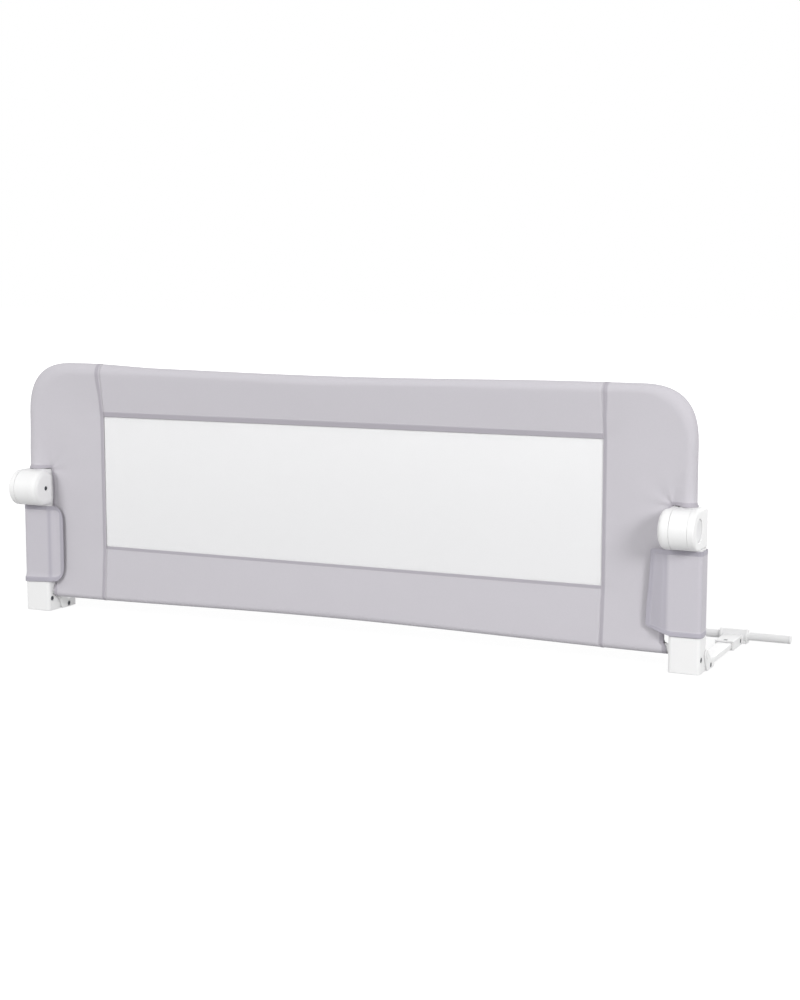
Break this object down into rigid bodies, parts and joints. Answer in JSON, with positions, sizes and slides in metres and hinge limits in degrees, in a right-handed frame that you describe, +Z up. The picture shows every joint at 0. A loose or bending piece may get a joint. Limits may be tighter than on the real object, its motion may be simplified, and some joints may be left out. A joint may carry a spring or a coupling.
{
  "type": "folding bed guard rail",
  "caption": "Child bed safety rail: cloth and mesh panel on a tube frame that folds down on two push-button hinges, with a fold-up base that slides under the mattress.",
  "frame": {"origin": "middle of the bounding box at the plane that the blocks and the base stand on", "axes": "+X along the rail to the right as seen from the room, +Y from the rail towards the mattress, +Z up"},
  "size_m": [1.3326, 0.2976, 0.418],
  "materials": {
    "fabric": "plain woven polyester, pale grey",
    "window_mesh": "fine white net",
    "white_plastic": "moulded, fine satin grain",
    "grey_plastic": "moulded, satin",
    "white_steel": "white powder coat",
    "bare_steel": "zinc plated",
    "dark_steel": "dark zinc plated"
  },
  "bodies": {
    "lower_frame": {"corner_block_left": "white_plastic", "block_bolt_left": "dark_steel", "leg_post_left": "white_steel", "leg_screw_lower_left": "bare_steel", "leg_screw_upper_left": "bare_steel", "hinge_fork_left": "white_plastic", "hinge_end_cover_left": "white_plastic", "end_cover_screw_left": "dark_steel", "hinge_axle_left": "bare_steel", "leg_wrap_left": "fabric", "cover_lower_side_left": "fabric", "fold_rivet_left": "dark_steel", "lock_spring_left": "bare_steel", "corner_block_right": "white_plastic", "block_bolt_right": "dark_steel", "leg_post_right": "white_steel", "leg_screw_lower_right": "bare_steel", "leg_screw_upper_right": "bare_steel", "hinge_fork_right": "white_plastic", "hinge_end_cover_right": "white_plastic", "end_cover_screw_right": "dark_steel", "hinge_axle_right": "bare_steel", "leg_wrap_right": "fabric", "cover_lower_side_right": "fabric", "fold_rivet_right": "dark_steel", "lock_spring_right": "bare_steel", "bottom_tube": "white_steel", "cover_bottom_band": "fabric", "window_mesh_lower": "window_mesh"},
    "upper_frame": {"hinge_tongue_left": "white_plastic", "tongue_screw_left": "dark_steel", "side_tube_left": "white_steel", "cover_upper_side_left": "fabric", "hinge_tongue_right": "white_plastic", "tongue_screw_right": "dark_steel", "side_tube_right": "white_steel", "cover_upper_side_right": "fabric", "top_tube": "white_steel", "cover_top_band": "fabric", "window_mesh_upper": "window_mesh"},
    "button_left": {"release_button_left": "grey_plastic", "lock_slider_left": "grey_plastic"},
    "button_right": {"release_button_right": "grey_plastic", "lock_slider_right": "grey_plastic"},
    "base_frame": {"base_bracket_left": "white_plastic", "base_arm_left": "white_steel", "arm_bolt_left": "dark_steel", "tee_fitting_left": "white_plastic", "tee_top_screw_left": "dark_steel", "tee_side_screw_left": "dark_steel", "cross_tube_cap_left": "white_plastic", "base_bracket_right": "white_plastic", "base_arm_right": "white_steel", "arm_bolt_right": "dark_steel", "tee_fitting_right": "white_plastic", "tee_top_screw_right": "dark_steel", "tee_side_screw_right": "dark_steel", "cross_tube_cap_right": "white_plastic", "cross_tube": "white_steel"}
  },
  "joints": [
    {"name": "rail_fold", "type": "hinge", "parent": "lower_frame", "child": "upper_frame", "pos_m": [0, -0.11925, 0.2125], "axis": [1, 0, 0], "range_deg": [0, 180]},
    {"name": "button_press_left", "type": "slide", "parent": "lower_frame", "child": "button_left", "axis": [1, 0, 0], "range_m": [0, 0.0028], "stiffness_N_per_m": 700, "springref_m": -0.002, "deforming": ["lock_spring_left"]},
    {"name": "button_press_right", "type": "slide", "parent": "lower_frame", "child": "button_right", "axis": [-1, 0, 0], "range_m": [0, 0.0028], "stiffness_N_per_m": 700, "springref_m": -0.002, "deforming": ["lock_spring_right"]},
    {"name": "base_fold", "type": "hinge", "parent": "lower_frame", "child": "base_frame", "pos_m": [0, -0.07525, 0.024], "axis": [1, 0, 0], "range_deg": [0, 90]}
  ]
}
